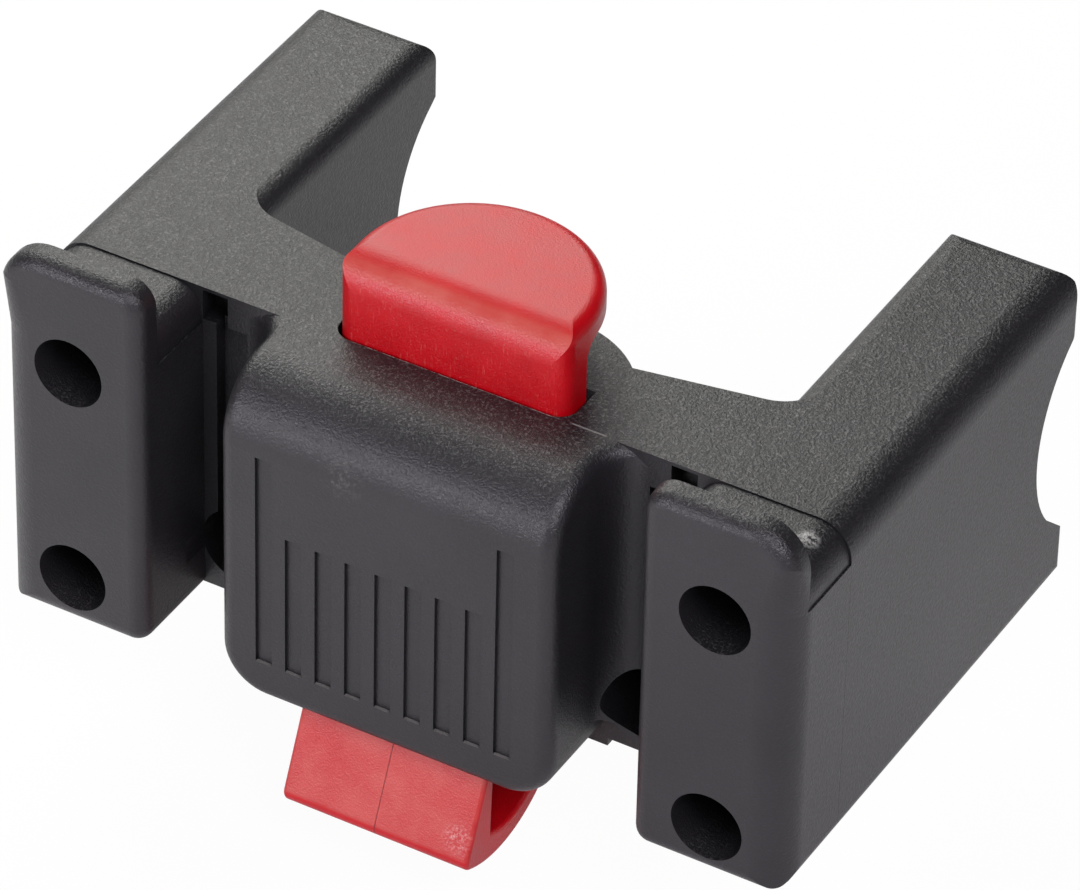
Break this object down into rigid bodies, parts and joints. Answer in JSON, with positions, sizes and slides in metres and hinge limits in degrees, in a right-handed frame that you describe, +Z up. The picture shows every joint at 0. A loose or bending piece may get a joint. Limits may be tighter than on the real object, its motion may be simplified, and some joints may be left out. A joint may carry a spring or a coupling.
{
  "type": "bicycle handlebar bag mount",
  "caption": "Quick-release bag mount with arms that seat on a handlebar, holed flanges with raised caps, a grooved housing, a push button on top and a sprung hook below.",
  "frame": {"origin": "halfway between the two seats, on the line where the handlebar touches them", "axes": "+X along the handlebar to the right seen from the bag, +Y from the bag towards the bar, +Z up"},
  "size_m": [0.1142, 0.0775, 0.0764],
  "materials": {
    "black_nylon": "fine eroded grain",
    "red_plastic": "satin moulding",
    "spring_steel": "drawn wire"
  },
  "bodies": {
    "mount": {"body": "black_nylon", "return_spring_left": "spring_steel", "return_spring_right": "spring_steel"},
    "release_slide": {"release_button": "red_plastic", "catch": "red_plastic"}
  },
  "joints": [
    {"name": "release_press", "type": "slide", "parent": "mount", "child": "release_slide", "axis": [0, 0, -1], "range_m": [0, 0.007], "stiffness_N_per_m": 1200, "springref_m": -0.006, "deforming": ["return_spring_left", "return_spring_right"]}
  ]
}
